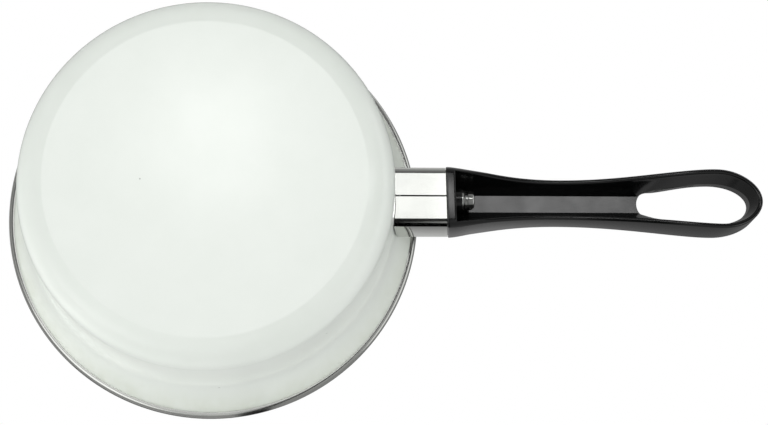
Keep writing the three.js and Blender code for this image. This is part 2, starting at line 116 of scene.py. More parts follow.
def makePiece(name, verts, faces, material, sharp=meshing["machinedEdge"], place=None):  # verts in mm
    mesh = bpy.data.meshes.new(name)
    mesh.from_pydata([tuple(c * mm for c in v) for v in verts], [], faces)
    mergeClose(mesh, meshing["mergeMade"], sharp)
    mesh.materials.append(material)
    piece = bpy.data.objects.new(name, mesh)
    studio.collection.objects.link(piece)
    if place is not None:
        piece.matrix_world = place
    return piece


def bakeModifiers(piece, sharp=meshing["machinedEdge"]):  # the evaluated mesh becomes the piece's own
    bpy.context.view_layer.update()
    evaluated = piece.evaluated_get(bpy.context.evaluated_depsgraph_get())
    solid = bpy.data.meshes.new_from_object(evaluated)
    piece.modifiers.clear()
    piece.data = solid
    shade(solid, sharp)


def cut(piece, cutter, how="DIFFERENCE", sharp=meshing["machinedEdge"]):
    step = piece.modifiers.new("cut", "BOOLEAN")
    step.operation = how
    step.solver = "MANIFOLD"
    step.object = cutter
    bakeModifiers(piece, sharp)
    bpy.data.objects.remove(cutter)


def lathe(points, turns, closed=False):  # (radius, height) round Z
    verts, rings, faces = [], [], []
    for r, z in points:
        if r == 0:
            rings.append([len(verts)] * turns)
            verts.append((0, 0, z))
            continue
        rings.append(list(range(len(verts), len(verts) + turns)))
        for i in range(turns):
            turn = 2 * math.pi * i / turns
            verts.append((r * math.cos(turn), r * math.sin(turn), z))
    for a, b in zip(rings, rings[1:] + (rings[:1] if closed else [])):
        for i in range(turns):
            j = (i + 1) % turns
            face = [a[i], a[j], b[j], b[i]]
            faces.append([v for k, v in enumerate(face) if v not in face[:k]])
    return verts, [f for f in faces if len(f) > 2]


def prism(outline, low, high):  # closed (x, y) outline carried up Z
    count = len(outline)
    verts = [(x, y, z) for z in (low, high) for x, y in outline]
    faces = [list(range(count))[::-1], list(range(count, 2 * count))]
    faces += [[i, (i + 1) % count, count + (i + 1) % count, count + i] for i in range(count)]
    return verts, faces


def adopt(piece, node):  # its place goes into its vertices, as in the frame
    piece.data.transform(piece.matrix_world)
    piece.matrix_world = Matrix.Identity(4)
    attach(piece, "root")
    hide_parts(node)
    print("piece", piece.name, "faces", len(piece.data.polygons))


enamelLook = {  # sizes in mm
    "white": "#E9EEE8", "cool": "#E2E8E1", "darkerUp": "#D0D6C8", "fleck": "#9AA098",
    "cloud": 22, "peel": 2.4, "run": 7, "runStretch": 0.12, "darkerFrom": 52, "darkerTo": 74,
    "fleckSpacing": 15, "fleckSize": 0.55, "fleckCore": 0.6, "fleckShare": 0.35, "fleckDip": 0.8,
    "gloss": (0.15, 0.24), "bump": 0.12, "relief": 0.05, "ior": 1.52,
}


def vitreousEnamel():  # glass fired on steel: hard gloss, faint orange peel, a few kiln flecks
    look = enamelLook
    material, tree = newMaterial("vitreousEnamelFired")
    place = addNode(tree, "ShaderNodeTexCoord").outputs["Object"]
    clouds = addNode(tree, "ShaderNodeTexNoise", {"Scale": perMm(look["cloud"]), "Detail": 3.0},
                     {"Vector": place})
    body = addNode(tree, "ShaderNodeMix",
                   {"data_type": "RGBA", 6: linear(look["white"]), 7: linear(look["cool"])},
                   {"Factor": clouds.outputs["Fac"]})
    split = addNode(tree, "ShaderNodeSeparateXYZ", {}, {"Vector": place})
    # darker and greyer towards the rim, from 52 to 74 mm up, in up-and-down streaks
    height = addNode(tree, "ShaderNodeMapRange",
                     {"From Min": look["darkerFrom"] * mm, "From Max": look["darkerTo"] * mm,
                      "interpolation_type": "SMOOTHSTEP"},
                     {"Value": split.outputs["Z"]})
    tall = addNode(tree, "ShaderNodeMapping", {"Scale": (1, 1, look["runStretch"])},
                   {"Vector": place})  # streaks stretched up and down the wall
    runs = addNode(tree, "ShaderNodeTexNoise", {"Scale": perMm(look["run"]), "Detail": 2.0},
                   {"Vector": tall.outputs["Vector"]})
    darkerUpStreaks = addNode(tree, "ShaderNodeMath", {"operation": "MULTIPLY"},
                    {0: height.outputs["Result"], 1: runs.outputs["Fac"]})
    upperDarkened = addNode(tree, "ShaderNodeMix", {"data_type": "RGBA", 7: linear(look["darkerUp"])},
                   {"Factor": darkerUpStreaks.outputs["Value"], 6: body.outputs[2]})
    cells = addNode(tree, "ShaderNodeTexVoronoi", {"Scale": perMm(look["fleckSpacing"])}, {"Vector": place})
    dot = addNode(tree, "ShaderNodeMapRange",
                  {"From Min": look["fleckSize"] / look["fleckSpacing"],
                   "From Max": look["fleckCore"] * look["fleckSize"] / look["fleckSpacing"]},
                  {"Value": cells.outputs["Distance"]})
    chance = addNode(tree, "ShaderNodeSeparateColor", {}, {"Color": cells.outputs["Color"]})
    some = addNode(tree, "ShaderNodeMath", {"operation": "LESS_THAN", 1: look["fleckShare"]},
                   {0: chance.outputs["Red"]})
    fleck = addNode(tree, "ShaderNodeMath", {"operation": "MULTIPLY"},
                    {0: dot.outputs["Result"], 1: some.outputs["Value"]})
    colour = addNode(tree, "ShaderNodeMix", {"data_type": "RGBA", 7: linear(look["fleck"])},
                     {"Factor": fleck.outputs["Value"], 6: upperDarkened.outputs[2]})
    gloss = addNode(tree, "ShaderNodeMapRange", {"To Min": look["gloss"][0], "To Max": look["gloss"][1]},
                    {"Value": clouds.outputs["Fac"]})
    peel = addNode(tree, "ShaderNodeTexNoise", {"Scale": perMm(look["peel"]), "Detail": 1.0},
                   {"Vector": place})
    relief = addNode(tree, "ShaderNodeMath", {"operation": "MULTIPLY_ADD", 1: -look["fleckDip"]},
                     {0: fleck.outputs["Value"], 2: peel.outputs["Fac"]})
    bump = addNode(tree, "ShaderNodeBump", {"Strength": look["bump"], "Distance": look["relief"] * mm},
                   {"Height": relief.outputs["Value"]})
    shader = addNode(tree, "ShaderNodeBsdfPrincipled", {"IOR": look["ior"]},
                     {"Base Color": colour.outputs[2], "Roughness": gloss.outputs["Result"],
                      "Normal": bump.outputs["Normal"]})
    addNode(tree, "ShaderNodeOutputMaterial", {}, {"Surface": shader.outputs["BSDF"]})
    return material


stainlessLook = {  # sizes in mm, the lines coarser than real ones so that they show
    "bright": "#D6D7D3", "dull": "#BFC1BD", "smear": 14, "line": 0.7, "lineStretch": 0.05,
    "bump": 0.06, "relief": 0.02,
}


def polishedStainless(name, rolled, clear, hazy):  # buffed: near mirror, fine buffing lines, a few smears
    look = stainlessLook
    material, tree = newMaterial(name)
    place = addNode(tree, "ShaderNodeTexCoord").outputs["Object"]
    smears = addNode(tree, "ShaderNodeTexNoise", {"Scale": perMm(look["smear"]), "Detail": 4.0},
                     {"Vector": place})
    if rolled:  # lines run round the rim: drawn by radius and height only
        level = addNode(tree, "ShaderNodeMapping", {"Scale": (1, 1, 0)}, {"Vector": place})
        radius = addNode(tree, "ShaderNodeVectorMath", {"operation": "LENGTH"}, {0: level.outputs["Vector"]})
        height = addNode(tree, "ShaderNodeSeparateXYZ", {}, {"Vector": place})
        drawn = addNode(tree, "ShaderNodeCombineXYZ", {},
                        {"X": radius.outputs["Value"], "Z": height.outputs["Z"]})
    else:  # lines run along the sleeve
        drawn = addNode(tree, "ShaderNodeMapping", {"Scale": (look["lineStretch"], 1, 1)}, {"Vector": place})
    lines = addNode(tree, "ShaderNodeTexNoise", {"Scale": perMm(look["line"]), "Detail": 2.0},
                    {"Vector": drawn.outputs["Vector"]})
    colour = addNode(tree, "ShaderNodeMix",
                     {"data_type": "RGBA", 6: linear(look["bright"]), 7: linear(look["dull"])},
                     {"Factor": smears.outputs["Fac"]})
    mixed = addNode(tree, "ShaderNodeMath", {"operation": "MULTIPLY"},
                    {0: smears.outputs["Fac"], 1: lines.outputs["Fac"]})
    gloss = addNode(tree, "ShaderNodeMapRange", {"To Min": clear, "To Max": hazy},
                    {"Value": mixed.outputs["Value"]})
    bump = addNode(tree, "ShaderNodeBump", {"Strength": look["bump"], "Distance": look["relief"] * mm},
                   {"Height": lines.outputs["Fac"]})
    shader = addNode(tree, "ShaderNodeBsdfPrincipled", {"Metallic": 1.0},
                     {"Base Color": colour.outputs[2], "Roughness": gloss.outputs["Result"],
                      "Normal": bump.outputs["Normal"]})
    addNode(tree, "ShaderNodeOutputMaterial", {}, {"Surface": shader.outputs["BSDF"]})
    return material


phenolicLook = {  # sizes in mm
    "black": "#070808", "worn": "#232526", "mottle": 9, "skin": 1.1, "scuff": 3, "proud": (0.54, 0.66),
    "gloss": (0.1, 0.22), "dulling": 0.2, "bump": 0.05, "relief": 0.02, "ior": 1.55,
}


def mouldedPhenolic():  # thermoset from a polished mould: deep gloss, slight skin ripple, edges rubbed dull
    look = phenolicLook
    material, tree = newMaterial("phenolicMoulded")
    place = addNode(tree, "ShaderNodeTexCoord").outputs["Object"]
    mottle = addNode(tree, "ShaderNodeTexNoise", {"Scale": perMm(look["mottle"]), "Detail": 3.0},
                     {"Vector": place})
    scuffs = addNode(tree, "ShaderNodeTexNoise", {"Scale": perMm(look["scuff"]), "Detail": 5.0},
                     {"Vector": place})
    edges = addNode(tree, "ShaderNodeNewGeometry").outputs["Pointiness"]
    proud = addNode(tree, "ShaderNodeMapRange",
                    {"From Min": look["proud"][0], "From Max": look["proud"][1]}, {"Value": edges})
    rubbed = addNode(tree, "ShaderNodeMath", {"operation": "MULTIPLY"},
                     {0: proud.outputs["Result"], 1: scuffs.outputs["Fac"]})
    colour = addNode(tree, "ShaderNodeMix",
                     {"data_type": "RGBA", 6: linear(look["black"]), 7: linear(look["worn"])},
                     {"Factor": rubbed.outputs["Value"]})
    gloss = addNode(tree, "ShaderNodeMapRange", {"To Min": look["gloss"][0], "To Max": look["gloss"][1]},
                    {"Value": mottle.outputs["Fac"]})
    dull = addNode(tree, "ShaderNodeMath", {"operation": "MULTIPLY_ADD", 1: look["dulling"]},
                   {0: rubbed.outputs["Value"], 2: gloss.outputs["Result"]})
    skinRipple = addNode(tree, "ShaderNodeTexNoise", {"Scale": perMm(look["skin"]), "Detail": 2.0},
                         {"Vector": place})
    bump = addNode(tree, "ShaderNodeBump", {"Strength": look["bump"], "Distance": look["relief"] * mm},
                   {"Height": skinRipple.outputs["Fac"]})
    shader = addNode(tree, "ShaderNodeBsdfPrincipled", {"IOR": look["ior"]},
                     {"Base Color": colour.outputs[2], "Roughness": dull.outputs["Value"],
                      "Normal": bump.outputs["Normal"]})
    addNode(tree, "ShaderNodeOutputMaterial", {}, {"Surface": shader.outputs["BSDF"]})
    return material


zincLook = {  # sizes in mm
    "bright": "#D2D3D0", "grey": "#8E908E", "spangle": 1.6, "turned": 0.35,
    "gloss": (0.14, 0.28), "bump": 0.1, "relief": 0.03,
}


def platedZinc():  # turned or pressed steel, bright plated: satin, faint tool lines, greyed in places
    look = zincLook
    material, tree = newMaterial("zincPlatedSteel")
    place = addNode(tree, "ShaderNodeTexCoord").outputs["Object"]
    spangle = addNode(tree, "ShaderNodeTexNoise", {"Scale": perMm(look["spangle"]), "Detail": 4.0},
                      {"Vector": place})
    colour = addNode(tree, "ShaderNodeMix",
                     {"data_type": "RGBA", 6: linear(look["bright"]), 7: linear(look["grey"])},
                     {"Factor": spangle.outputs["Fac"]})
    gloss = addNode(tree, "ShaderNodeMapRange", {"To Min": look["gloss"][0], "To Max": look["gloss"][1]},
                    {"Value": spangle.outputs["Fac"]})
    lines = addNode(tree, "ShaderNodeTexNoise", {"Scale": perMm(look["turned"]), "Detail": 1.0},
                    {"Vector": place})
    bump = addNode(tree, "ShaderNodeBump", {"Strength": look["bump"], "Distance": look["relief"] * mm},
                   {"Height": lines.outputs["Fac"]})
    shader = addNode(tree, "ShaderNodeBsdfPrincipled", {"Metallic": 1.0},
                     {"Base Color": colour.outputs[2], "Roughness": gloss.outputs["Result"],
                      "Normal": bump.outputs["Normal"]})
    addNode(tree, "ShaderNodeOutputMaterial", {}, {"Surface": shader.outputs["BSDF"]})
    return material


enamel = vitreousEnamel()
rimSteel = polishedStainless("stainlessStripRolled", rolled=True, clear=0.12, hazy=0.3)
ferruleSteel = polishedStainless("stainlessSheetFolded", rolled=False, clear=0.05, hazy=0.2)
phenolic = mouldedPhenolic()
zinc = platedZinc()
print("materials made")


panSizes = {  # mm and degrees
    "rimRadius": 92, "height": 76, "baseRadius": 66.7, "baseCorner": 11.7, "sheet": 1.6, "lowerTaper": 3,
    "flareHeight": 56, "blendLength": 32, "rollRadius": 2.3, "edgeReach": 1.2,
    "baseBreak": 13, "breakFade": 8,
    "flatShares": (0, 0.35, 0.7, 0.96, 0.993), "cornerSteps": 28, "blendSteps": 32, "turns": 240,
}


def outward(lean):
    return Vector((math.cos(lean), -math.sin(lean)))


def upward(lean):
    return Vector((math.sin(lean), math.cos(lean)))


lowerTaper = math.radians(panSizes["lowerTaper"])
rollCentre = Vector((panSizes["rimRadius"] - panSizes["rollRadius"],
                     panSizes["height"] - panSizes["rollRadius"]))
cornerCentre = Vector((panSizes["baseRadius"], panSizes["baseCorner"]))
lowerStart = cornerCentre + outward(lowerTaper) * panSizes["baseCorner"]
wallRise = panSizes["flareHeight"] - lowerStart.y
crease = Vector((lowerStart.x + wallRise * math.tan(lowerTaper), panSizes["flareHeight"]))
toRoll = rollCentre - crease
upperTaper = math.atan2(toRoll.x, toRoll.y) + math.asin(panSizes["sheet"] / 2 / toRoll.length)
upFlare = upward(upperTaper)
panEdge = rollCentre + upFlare * panSizes["edgeReach"]


def blendCurve():  # the lean eases from wall to flare, so that no line shows where they meet
    steps = panSizes["blendSteps"]
    leans = [lerp(lowerTaper, upperTaper, ease(i / steps)) for i in range(steps + 1)]
    path = [Vector((0, 0))]
    for a, b in zip(leans, leans[1:]):
        path.append(path[-1] + upward((a + b) / 2) * (panSizes["blendLength"] / steps))
    ends = upward(lowerTaper) + upward(upperTaper)
    start = crease - upward(lowerTaper) * (path[-1].dot(ends) / ends.dot(ends))
    return [(start + p, lean) for p, lean in zip(path, leans)]


def wallCurve(inset):  # outside face moved in by inset, from the base's flat to the edge
    points = []
    for i in range(panSizes["cornerSteps"] + 1):
        lean = lerp(math.pi / 2, lowerTaper, i / panSizes["cornerSteps"])
        beyond = panSizes["baseCorner"] * math.cos(lean)
        left = max(0, 1 - beyond / panSizes["breakFade"])
        lift = math.tan(math.radians(panSizes["baseBreak"])) * beyond * left * left  # a visible edge
        points.append(cornerCentre + outward(lean) * (panSizes["baseCorner"] - inset) + Vector((0, lift)))
    points += [p - outward(lean) * inset for p, lean in blendCurve()]
    points.append(panEdge + outward(upperTaper) * (panSizes["sheet"] / 2 - inset))
    return points


def wallRadius(height, points):
    for a, b in zip(points, points[1:]):
        if a.y <= height <= b.y:
            return lerp(a.x, b.x, (height - a.y) / (b.y - a.y))
    return points[-1].x


def panMesh():
    sheet = panSizes["sheet"]
    flat = [(panSizes["baseRadius"] * share, 0) for share in panSizes["flatShares"]]
    outside = [(p.x, p.y) for p in wallCurve(0)]
    inside = [(p.x, p.y) for p in reversed(wallCurve(sheet))]
    innerFlat = [(r, sheet) for r, _ in reversed(flat)]
    return lathe(flat + outside + inside + innerFlat, panSizes["turns"])


pan = makePiece("panBody", *panMesh(), enamel, meshing["pressedEdge"])
adopt(pan, "pan_body")


bandSizes = {"radius": 2.28, "gauge": 0.5, "lipGap": 0.1, "steps": 30}  # a hair inside the solid's facets


def bandRoll(radius):  # round the pan's edge, open where the wall enters it
    lip = panSizes["sheet"] / 2 + bandSizes["lipGap"]
    lipTurn = math.asin(lip / radius)
    points = []
    for i in range(bandSizes["steps"] + 1):
        turn = lerp(lipTurn, 2 * math.pi - lipTurn, i / bandSizes["steps"])
        p = rollCentre + outward(upperTaper) * (radius * math.sin(turn)) - upFlare * (radius * math.cos(turn))
        points.append((p.x, p.y))
    return points


bandProfile = bandRoll(bandSizes["radius"]) + bandRoll(bandSizes["radius"] - bandSizes["gauge"])[::-1]
bandMesh = lathe(bandProfile, panSizes["turns"], closed=True)
band = makePiece("rimBand", *bandMesh, rimSteel, meshing["pressedEdge"])
adopt(band, "rim_band")


handleSizes = {  # mm and degrees; the handle's own frame starts on the wall and runs along X
    "drop": 38, "rise": 3.5, "ferruleLength": 22.5, "seatGap": 0.1, "boltHeight": 9.2, "wallGap": 0.3,
    "jointLean": 9, "leanFade": 12,
}
handleHeight = panSizes["height"] - handleSizes["drop"]
handleFoot = wallRadius(handleHeight, wallCurve(0))
handleTilt = Matrix.Rotation(math.radians(-handleSizes["rise"]), 4, "Y")
handleInMm = Matrix.Translation((handleFoot, 0, handleHeight)) @ handleTilt
handlePlace = Matrix.Translation((handleFoot * mm, 0, handleHeight * mm)) @ handleTilt
gripStart = handleSizes["ferruleLength"] + handleSizes["seatGap"]
jointSlope = math.tan(math.radians(handleSizes["jointLean"]))  # the joint stands out at its top
gripPlace = handlePlace @ Matrix.Translation((gripStart * mm, 0, 0))
boltTurn = Matrix.Rotation(math.pi / 2, 4, "Y")
boltPlace = handlePlace @ Matrix.Translation((0, 0, handleSizes["boltHeight"] * mm)) @ boltTurn

sectionSizes = {  # the section that ferrule and grip share
    "halfWidth": 13.65, "corner": 3.5, "sideHeight": 18, "draft": 5.2, "shoulderInset": 4.2,
    "shoulderRise": 2.6, "crown": 0.9,
    "cornerSteps": 12, "shoulderSteps": 12, "crownShares": (0.85, 0.7, 0.5, 0.25, 0.0),
}


def sectionHalf(bottom, corner, inset):  # (y, z) from the lower corner to the middle of the top
    s = sectionSizes
    radius = corner - inset
    across, up = s["halfWidth"] - corner, bottom + corner
    points = [(across + radius * math.sin(turn), up - radius * math.cos(turn))
              for turn in quarterTurns(s["cornerSteps"])]
    widest = s["halfWidth"] - inset + (s["sideHeight"] - up) * math.tan(math.radians(s["draft"]))
    for turn in quarterTurns(s["shoulderSteps"]):
        points.append((widest - s["shoulderInset"] * (1 - math.cos(turn)),
                       s["sideHeight"] + (s["shoulderRise"] - inset) * math.sin(turn)))
    y, z = points[-1]
    return points + [(y * t, z + s["crown"] * (1 - t * t)) for t in s["crownShares"]]


ferruleSizes = {
    "step": 0.4, "gauge": 0.6, "seam": 0.42, "seamRoll": 0.1, "rollEase": 0.3, "rollLand": 0.05,
    "flatShares": (0.35, 0.7, 0.99), "reach": (-15.0, 20.0), "steps": 14,
}


def ferruleMesh():
    f = ferruleSizes
    wall = wallCurve(-handleSizes["wallGap"])
    half = sectionHalf(0, sectionSizes["corner"], f["step"])
    side, level, roll = f["seam"] / 2, f["step"], f["seamRoll"]
    eased = f["rollEase"] * roll
    lip = [(side, level + roll), (side + eased, level + eased), (side + roll, level)]
    lip += [(lip[-1][0] + f["rollLand"], level)]  # keeps the roll's shading off the flat
    lip += [(lerp(lip[-1][0], half[0][0], t), level) for t in f["flatShares"]]
    outline = mirrored(lip + half)

    def meetsWall(y, z):  # where the sleeve's straight line reaches the curved wall
        def isInside(x):
            p = handleInMm @ Vector((x, y, z))
            return math.hypot(p.x, p.y) < wallRadius(p.z, wall)

        return bisect(*f["reach"], isInside)[1]

    count = f["steps"] + 1
    verts = []
    for y, z in outline:
        start = meetsWall(y, z)
        end = handleSizes["ferruleLength"] + z * jointSlope
        verts += [(lerp(start, end, k / f["steps"]), y, z) for k in range(count)]
    faces = []
    for i in range(len(outline) - 1):
        for k in range(f["steps"]):
            a = i * count + k
            faces.append((a, a + 1, a + count + 1, a + count))
    return verts, faces


ferrule = makePiece("ferrule.sheet", *ferruleMesh(), ferruleSteel, place=handlePlace)
sleeveMiddle = Vector((handleSizes["ferruleLength"], 0, sectionSizes["sideHeight"])) * (mm / 2)
probe = ferrule.data.polygons[len(ferrule.data.polygons) // 3]
if probe.normal.dot(probe.center - sleeveMiddle) < 0:  # an open sheet's faces may look inwards
    ferrule.data.flip_normals()
thicken = ferrule.modifiers.new("gauge", "SOLIDIFY")
thicken.thickness = ferruleSizes["gauge"] * mm
thicken.offset = -1
bakeModifiers(ferrule)
adopt(ferrule, "ferrule")


gripSizes = {  # mm along the grip's frame; an ease holds its start and its end level by these shares
    "length": 144.8, "waistAt": 50.3, "waistHalfWidth": 9, "nose": 21, "loopHalfWidth": 13.5,
    "archAt": 55.6, "archRise": 6.7, "heelSetback": 8.4, "heelRise": 2, "tipRise": 5.5,
    "cornerFade": 16.8, "beadWidth": 2.1, "beadRadius": 1, "frontWall": 4.4, "frontDraft": 1,
    "frontRound": 0.5, "topWall": 5.2, "floorHalfWidth": 3.75, "tipWall": 3, "loopRing": 3.8,
    "holeLength": 52.7, "holeStartRadius": 6.5, "shutOff": 0.3,
    "spigot": 2, "spigotRoot": 4, "spigotGap": 0.3, "bossHeight": 3, "bossMargin": 0.5,
    "neckEase": (0.17, 0.54), "waistEase": (0.46, 0.2), "archEase": (0.26, 0.55), "heelEase": (0.39, 0.39),
    "tipEase": (0.5, 0.29), "holeEase": (0.21, 0.43), "floorEase": (0.04, 0.63),
    "barSteps": 110, "noseSteps": 30, "beadSteps": 10, "slopeReach": 0.5,
    "holeStartSteps": 32, "holeSideSteps": 24, "holeEndSteps": 48,
    "edgeShares": (0.04, 0.2, 0.5, 1), "hollowShares": (0.15, 0.35, 0.6, 0.82, 1),
}
loopAt = gripSizes["length"] - gripSizes["nose"]
heelAt = loopAt - gripSizes["heelSetback"]
holeEnd = gripSizes["length"] - gripSizes["tipWall"]
holeStart = holeEnd - gripSizes["holeLength"]
holeHalfWidth = gripSizes["loopHalfWidth"] - gripSizes["loopRing"]
gripTop = sectionSizes["sideHeight"] + sectionSizes["shoulderRise"] + sectionSizes["crown"]
floorHeight = gripTop - gripSizes["topWall"]
edgeStations = [gripSizes["frontRound"] * share for share in gripSizes["edgeShares"]]  # close, at an edge


def easeAt(start, end, holds, x):  # level-ended Bezier from start to end, read at x
    span = end[0] - start[0]
    xs = (start[0], start[0] + holds[0] * span, end[0] - holds[1] * span, end[0])

    def isBefore(t):
        u = 1 - t
        return u ** 3 * xs[0] + 3 * u ** 2 * t * xs[1] + 3 * u * t * t * xs[2] + t ** 3 * xs[3] < x

    t = bisect(0.0, 1.0, isBefore)[0]
    return start[1] + (end[1] - start[1]) * (3 * t * t - 2 * t ** 3)


def gripSide(x):
    g = gripSizes
    waist = (g["waistAt"], g["waistHalfWidth"])
    if x <= g["waistAt"]:
        return easeAt((0, sectionSizes["halfWidth"]), waist, g["neckEase"], x)
    return easeAt(waist, (loopAt, g["loopHalfWidth"]), g["waistEase"], x)


def gripUnder(x):
    g = gripSizes
    arch, heel = (g["archAt"], g["archRise"]), (heelAt, g["heelRise"])
    if x <= g["archAt"]:
        return easeAt((0, 0), arch, g["archEase"], x)
    if x <= heelAt:
        return easeAt(arch, heel, g["heelEase"], x)
    return easeAt(heel, (g["length"], g["tipRise"]), g["tipEase"], min(x, g["length"]))


def gripCorner(x):  # the ferrule's corner fades into the bead
    t = min(1, max(0, (x - gripSizes["frontWall"]) / gripSizes["cornerFade"]))
    return lerp(sectionSizes["corner"], gripSizes["beadRadius"], ease(t))


def planSide(start, halfWidthAt, noseLength, noseHalfWidth, extra):  # x, y, outward normal, x on the middle
    reach, noseSteps = gripSizes["slopeReach"], gripSizes["noseSteps"]
    bars = [lerp(start, loopAt, i / gripSizes["barSteps"]) for i in range(gripSizes["barSteps"])]
    stations = []
    for i, x in enumerate(sorted(bars + extra)):
        climb = 0 if i == 0 else (halfWidthAt(x + reach) - halfWidthAt(x - reach)) / (2 * reach)
        stations.append((x, halfWidthAt(x), Vector((-climb, 1)).normalized(), x))
    for i, turn in enumerate(quarterTurns(noseSteps)):
        s, c = (1, 0) if i == noseSteps else (math.sin(turn), math.cos(turn))
        normal = Vector((s / noseLength, c / noseHalfWidth)).normalized()
        stations.append((loopAt + noseLength * s, noseHalfWidth * c, normal, loopAt))
    return stations


def skin(rings):  # rings of one side, front to nose, mirrored; first and last close across the middle
    count = len(rings[0])
    around = 2 * count
    verts, faces = [], []
    for ring in rings:
        verts += ring + [(x, -y, z) for x, y, z in reversed(ring)]
    for k in range(len(rings) - 1):
        for i in range(around):
            a, b = k * around + i, k * around + (i + 1) % around
            faces.append((a, a + around, b + around, b))
    last = (len(rings) - 1) * around
    for i in range(count - 1):
        quad = (i, i + 1, around - 2 - i, around - 1 - i)
        faces.append(quad)
        faces.append(tuple(last + v for v in reversed(quad)))
    return verts, faces


def barMesh():
    g = gripSizes
    outer = planSide(0, gripSide, g["nose"], g["loopHalfWidth"], edgeStations)

    def inset(x):  # rounds the front edge of the bar
        reach = g["frontRound"] - x
        return 0 if reach <= 0 else g["frontRound"] - math.sqrt(max(0, g["frontRound"] ** 2 - reach ** 2))

    sections = [sectionHalf(gripUnder(x), gripCorner(x), inset(x)) for x, _, _, _ in outer]
    shoulderAt = len(sections[0]) - len(sectionSizes["crownShares"]) - 1
    rings = []
    for k in range(len(sections[0])):
        ring = []
        for (x, y, normal, middle), section in zip(outer, sections):
            offset = section[min(k, shoulderAt)][0] - sectionSizes["halfWidth"]
            px, py = x + normal.x * offset, max(0, y + normal.y * offset)
            share = 1 if k <= shoulderAt else section[k][0] / section[shoulderAt][0]
            lean = section[k][1] * jointSlope * max(0, 1 - x / handleSizes["leanFade"])
            ring.append((lerp(middle, px, share) + lean, py * share, section[k][1]))
        rings.append(ring)
    return skin(rings)


def hollowMesh():
    g = gripSizes
    mouthFront, floorFront = g["frontWall"], g["frontWall"] + g["frontDraft"]
    floorWidth, floorEnd = holeHalfWidth - g["shutOff"], holeEnd - g["shutOff"]

    def mouthSide(x):
        return gripSide(x) - g["beadWidth"]

    def floorSide(x):
        if x < holeStart:
            return g["floorHalfWidth"]
        return easeAt((holeStart, g["floorHalfWidth"]), (loopAt, floorWidth), g["floorEase"], x)

    mouth = planSide(mouthFront, mouthSide, g["nose"] - g["beadWidth"], g["loopHalfWidth"] - g["beadWidth"],
                     [mouthFront + s for s in edgeStations])
    floorPlan = planSide(floorFront, floorSide, floorEnd - loopAt, floorWidth,
                         [floorFront + s for s in edgeStations])

    def mouthRing(flare, rise):
        ring = []
        for i, (x, y, normal, _) in enumerate(mouth):
            front = flare if i == 0 else 0
            ring.append((x + normal.x * flare - front, max(0, y + normal.y * flare), gripUnder(x) + rise))
        return ring

    bead = g["beadRadius"]
    lipRing = mouthRing(0, bead)
    floorRing = [(x, y, floorHeight) for x, y, _, _ in floorPlan]
    rings = [mouthRing(bead, -bead)]
    for turn in quarterTurns(g["beadSteps"]):
        rings.append(mouthRing(bead * (1 - math.sin(turn)), bead * (1 - math.cos(turn))))
    for t in g["hollowShares"]:
        rings.append([tuple(lerp(a, b, t) for a, b in zip(p, q)) for p, q in zip(lipRing, floorRing)])
    return skin(rings)


def holeOutline():
    g = gripSizes
    radius, startSteps = g["holeStartRadius"], g["holeStartSteps"]
    sideSteps, endSteps = g["holeSideSteps"], g["holeEndSteps"]
    centre = holeStart + radius
    points = []
    for i in range(startSteps + 1):
        turn = math.pi / 2 + math.pi * i / startSteps
        points.append((centre + radius * math.cos(turn), radius * math.sin(turn)))
    side = []
    for i in range(1, sideSteps):
        x = lerp(centre, loopAt, i / sideSteps)
        side.append((x, easeAt((centre, radius), (loopAt, holeHalfWidth), g["holeEase"], x)))
    points += [(x, -y) for x, y in side]
    for i in range(endSteps + 1):
        turn = -math.pi / 2 + math.pi * i / endSteps
        points.append((loopAt + (holeEnd - loopAt) * math.cos(turn), holeHalfWidth * math.sin(turn)))
    return points + side[::-1]


boltSizes = {  # bolt, washers, and what the bolt passes through
    "diameter": 5, "clearance": 0.25, "tail": 2, "nutHeight": 4, "strap": 2, "turns": 72,
    "head": 8.5, "headHeight": 3, "headFillet": 1.2, "filletSteps": 10, "headChamfer": 0.1,
    "slotWidth": 1.2, "slotDepth": 1.5, "pitch": 0.8, "threadStart": 0.5, "threadDepth": 0.4,
    "crest": (0.4, 0.55), "crestDrop": 0.02, "neckDrop": 0.1, "endDrop": (0.5, 0.35), "endChamfer": 0.3,
    "washer": 10, "washerThickness": 1, "washerRound": 0.2, "roundEase": 0.3,
    "spring": 9.2, "springThickness": 1.2, "springRound": 0.15, "springSplit": 0.8, "springRise": 0.5,
    "springTurn": -110,
}
gap = handleSizes["seatGap"]
spigotEnd = gripStart - gripSizes["spigot"]
bossEnd = gripStart + gripSizes["frontWall"] + gripSizes["bossHeight"]
washerSeat = bossEnd + gap
springSeat = washerSeat + boltSizes["washerThickness"] + gap
headSeat = springSeat + boltSizes["springThickness"] + boltSizes["springRise"] + gap
headEnd = headSeat + boltSizes["headHeight"]
nutSide = spigotEnd - 2 * gap - boltSizes["strap"] - boltSizes["nutHeight"]
boltEnd = nutSide - boltSizes["tail"]
bossRadius = boltSizes["washer"] / 2 + gripSizes["bossMargin"]
boreRadius = boltSizes["diameter"] / 2 + boltSizes["clearance"]
overcut = meshing["overcut"]


def rod(name, radius, low, high):  # a round tool along the bolt's axis
    profile = [(0, low), (radius, low), (radius, high), (0, high)]
    return makePiece(name, *lathe(profile, boltSizes["turns"]), phenolic, place=boltPlace)


def spigotMesh():  # the grip's end that fits in the ferrule
    inset = ferruleSizes["step"] + ferruleSizes["gauge"] + gripSizes["spigotGap"]
    outline = mirrored(sectionHalf(0, sectionSizes["corner"], inset))
    verts, faces = prism(outline, -gripSizes["spigot"], gripSizes["spigotRoot"])
    return [(x, y, z) for y, z, x in verts], faces


